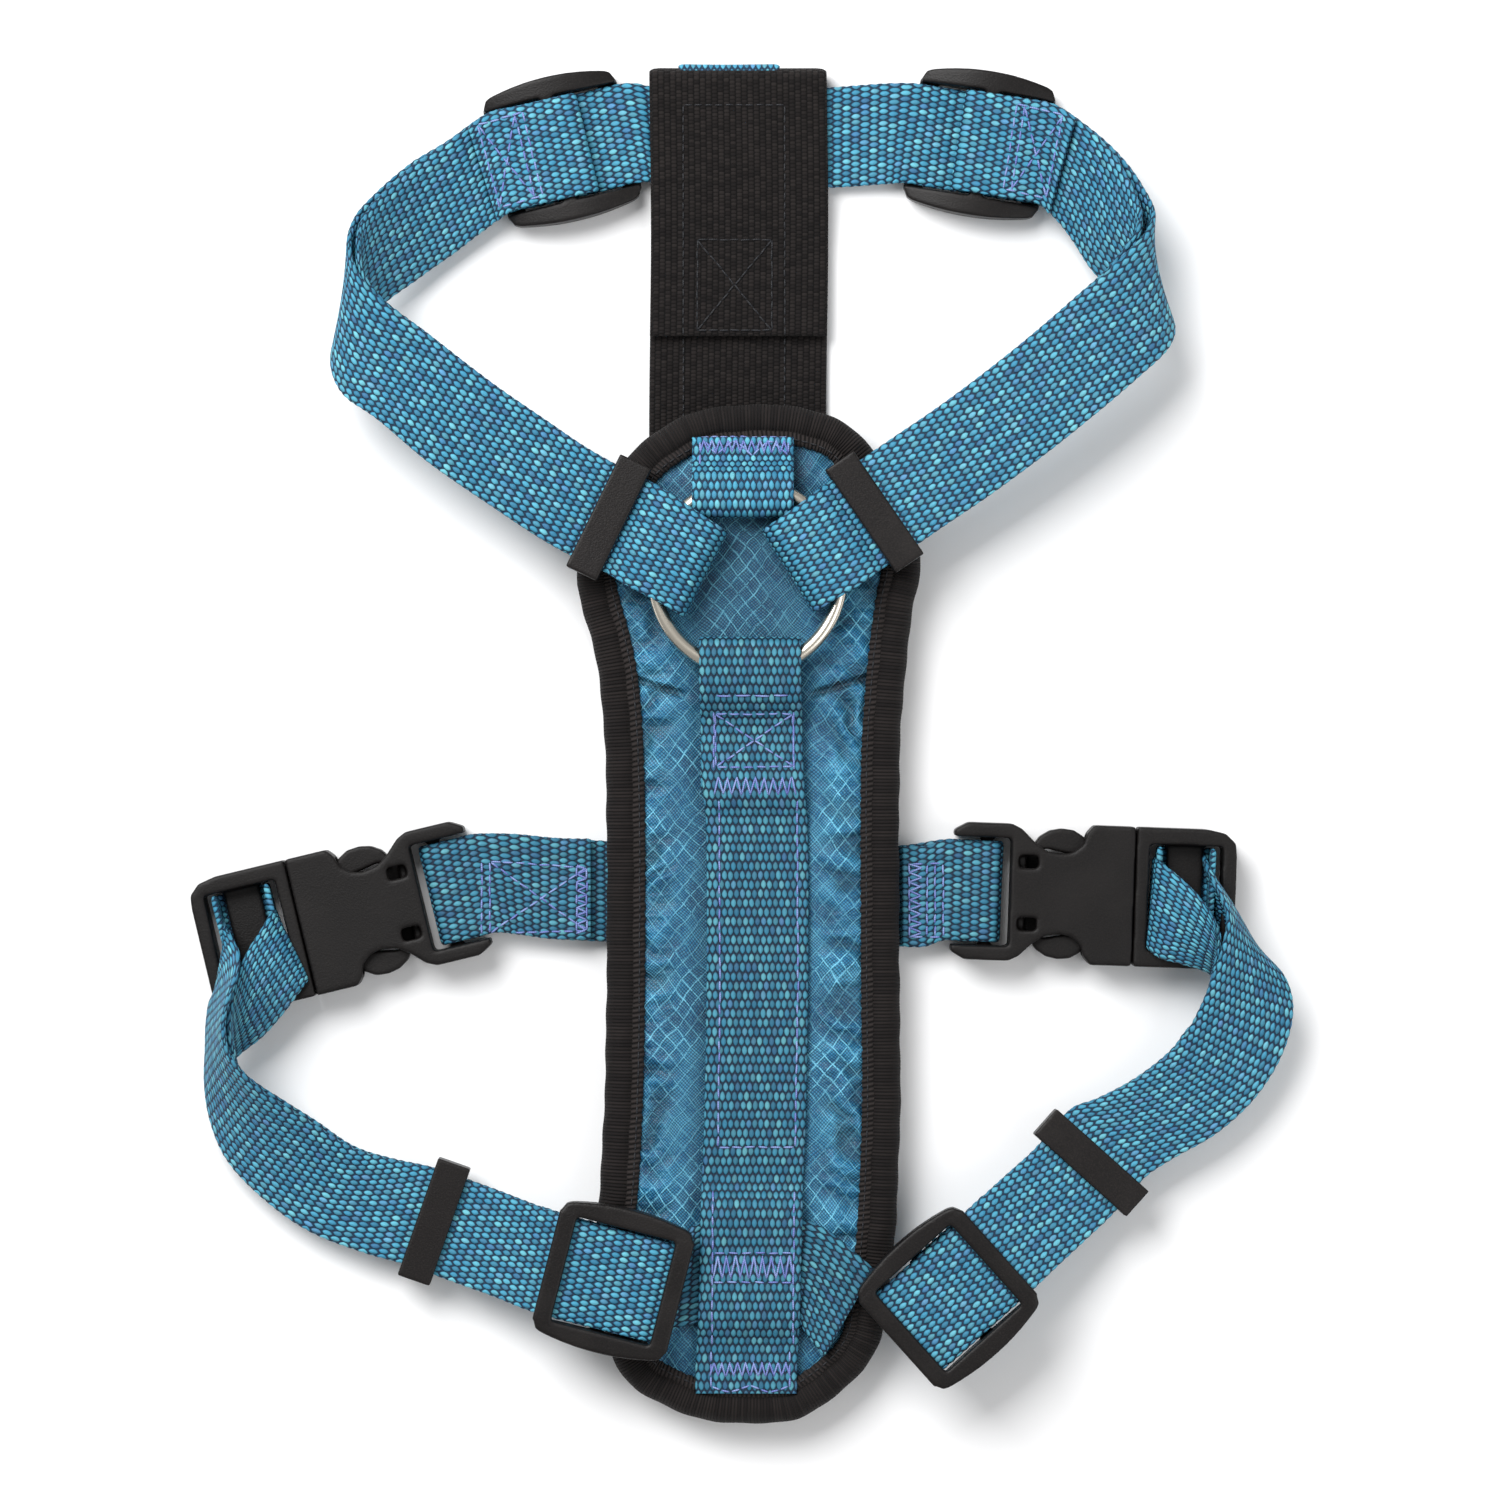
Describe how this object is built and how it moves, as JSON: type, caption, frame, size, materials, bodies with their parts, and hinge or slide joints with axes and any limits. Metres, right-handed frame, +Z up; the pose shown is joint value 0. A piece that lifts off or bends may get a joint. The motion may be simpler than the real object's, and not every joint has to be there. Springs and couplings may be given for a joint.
{
  "type": "no-pull dog harness",
  "caption": "Webbing dog harness laid flat: padded back plate with a lead ring, chest panel, neck loop, two girth straps with side-release buckles, slide adjusters and keepers.",
  "frame": {"origin": "middle of the footprint, on the surface that the harness lies on", "axes": "+Z up off the surface, +Y towards the neck end, +X to the right in the view from above"},
  "size_m": [0.2816, 0.3398, 0.0344],
  "materials": {
    "webbing": "woven nylon webbing, turquoise and blue flecked",
    "ripstop": "woven ripstop over a pad",
    "knit": "black knitted and ribbed fabric",
    "foam": "pad filling",
    "plastic": "moulded, fine grain",
    "steel": "satin plated steel"
  },
  "bodies": {
    "root": {"plate_lining": "knit", "plate_foam": "foam", "plate_face": "ripstop", "plate_binding": "knit", "chest_panel": "knit", "ring_loop_webbing": "webbing", "spine_webbing": "webbing", "neck_strap_left": "webbing", "neck_strap_right": "webbing", "buckle_left_housing": "plastic", "buckle_right_housing": "plastic", "chest_girth_webbing": "webbing", "girth_webbing_rear": "webbing", "girth_strap_left_outer": "webbing", "girth_strap_left_inner": "webbing", "girth_bend_left": "webbing", "girth_strap_right_outer": "webbing", "girth_strap_right_inner": "webbing", "girth_bend_right": "webbing"},
    "o_ring": {"o_ring": "steel"},
    "buckle_left_male": {"buckle_left_male": "plastic", "girth_webbing_left_turn": "webbing"},
    "buckle_left_arm_a": {"buckle_left_arm_a": "plastic"},
    "buckle_left_arm_b": {"buckle_left_arm_b": "plastic"},
    "buckle_right_male": {"buckle_right_male": "plastic", "girth_webbing_right_turn": "webbing"},
    "buckle_right_arm_a": {"buckle_right_arm_a": "plastic"},
    "buckle_right_arm_b": {"buckle_right_arm_b": "plastic"},
    "neck_adjuster_left": {"neck_adjuster_left": "plastic", "neck_adjuster_left_webbing_loop": "webbing"},
    "neck_adjuster_right": {"neck_adjuster_right": "plastic", "neck_adjuster_right_webbing_loop": "webbing"},
    "girth_adjuster_left": {"girth_adjuster_left": "plastic", "girth_adjuster_left_webbing_loop": "webbing"},
    "girth_adjuster_right": {"girth_adjuster_right": "plastic", "girth_adjuster_right_webbing_loop": "webbing"},
    "neck_keeper_left": {"neck_keeper_left": "plastic"},
    "neck_keeper_right": {"neck_keeper_right": "plastic"},
    "girth_keeper_left": {"girth_keeper_left": "plastic"},
    "girth_keeper_right": {"girth_keeper_right": "plastic"}
  },
  "joints": [
    {"name": "ring_turn", "type": "hinge", "parent": "root", "child": "o_ring", "pos_m": [0.00244, 0.04183, 0.01889], "axis": [0, 0, 1], "continuous": true},
    {"name": "buckle_left_pull", "type": "slide", "parent": "root", "child": "buckle_left_male", "axis": [-0.9722, -0.2341, 0], "range_m": [0, 0.028], "deforming": ["buckle_left_arm_a", "buckle_left_arm_b", "girth_bend_left"]},
    {"name": "buckle_left_arm_a_squeeze", "type": "hinge", "parent": "buckle_left_male", "child": "buckle_left_arm_a", "pos_m": [-0.10985, -0.03755, 0.00619], "axis": [0, 0, 1], "range_deg": [-8, 0], "stiffness_Nm_per_rad": 0.1},
    {"name": "buckle_left_arm_b_squeeze", "type": "hinge", "parent": "buckle_left_male", "child": "buckle_left_arm_b", "pos_m": [-0.1061, -0.0531, 0.00619], "axis": [0, 0, 1], "range_deg": [0, 8], "stiffness_Nm_per_rad": 0.1},
    {"name": "buckle_right_pull", "type": "slide", "parent": "root", "child": "buckle_right_male", "axis": [0.9994, -0.036, 0], "range_m": [0, 0.028], "deforming": ["buckle_right_arm_a", "buckle_right_arm_b", "girth_bend_right"]},
    {"name": "buckle_right_arm_a_squeeze", "type": "hinge", "parent": "buckle_right_male", "child": "buckle_right_arm_a", "pos_m": [0.09741, -0.04587, 0.00619], "axis": [0, 0, 1], "range_deg": [-8, 0], "stiffness_Nm_per_rad": 0.1},
    {"name": "buckle_right_arm_b_squeeze", "type": "hinge", "parent": "buckle_right_male", "child": "buckle_right_arm_b", "pos_m": [0.09798, -0.02988, 0.00619], "axis": [0, 0, 1], "range_deg": [0, 8], "stiffness_Nm_per_rad": 0.1},
    {"name": "neck_adjuster_left_slide", "type": "slide", "parent": "root", "child": "neck_adjuster_left", "axis": [-0.9731, -0.2306, 0], "range_m": [0, 0.0025]},
    {"name": "neck_adjuster_right_slide", "type": "slide", "parent": "root", "child": "neck_adjuster_right", "axis": [0.9874, -0.158, 0], "range_m": [-0.002, 0.0005]},
    {"name": "girth_adjuster_left_slide", "type": "slide", "parent": "root", "child": "girth_adjuster_left", "axis": [-0.9689, 0.2474, 0.0002], "range_m": [-0.0005, 0.001]},
    {"name": "girth_adjuster_right_slide", "type": "slide", "parent": "root", "child": "girth_adjuster_right", "axis": [0.7452, 0.6669, 0], "range_m": [-0.001, 0.0015]},
    {"name": "neck_keeper_left_slide", "type": "slide", "parent": "root", "child": "neck_keeper_left", "axis": [0.899, -0.4379, 0.0079], "range_m": [-0.00625, 0.00025]},
    {"name": "neck_keeper_right_slide", "type": "slide", "parent": "root", "child": "neck_keeper_right", "axis": [-0.8239, -0.5667, 0.0069], "range_m": [-0.007, 0.0005]},
    {"name": "girth_keeper_left_slide", "type": "slide", "parent": "root", "child": "girth_keeper_left", "axis": [-0.9438, 0.3303, 0.0091], "range_m": [-0.00225, 0.007]},
    {"name": "girth_keeper_right_slide", "type": "slide", "parent": "root", "child": "girth_keeper_right", "axis": [0.6669, 0.7443, -0.034], "range_m": [-0.0035, 0.0055]}
  ]
}
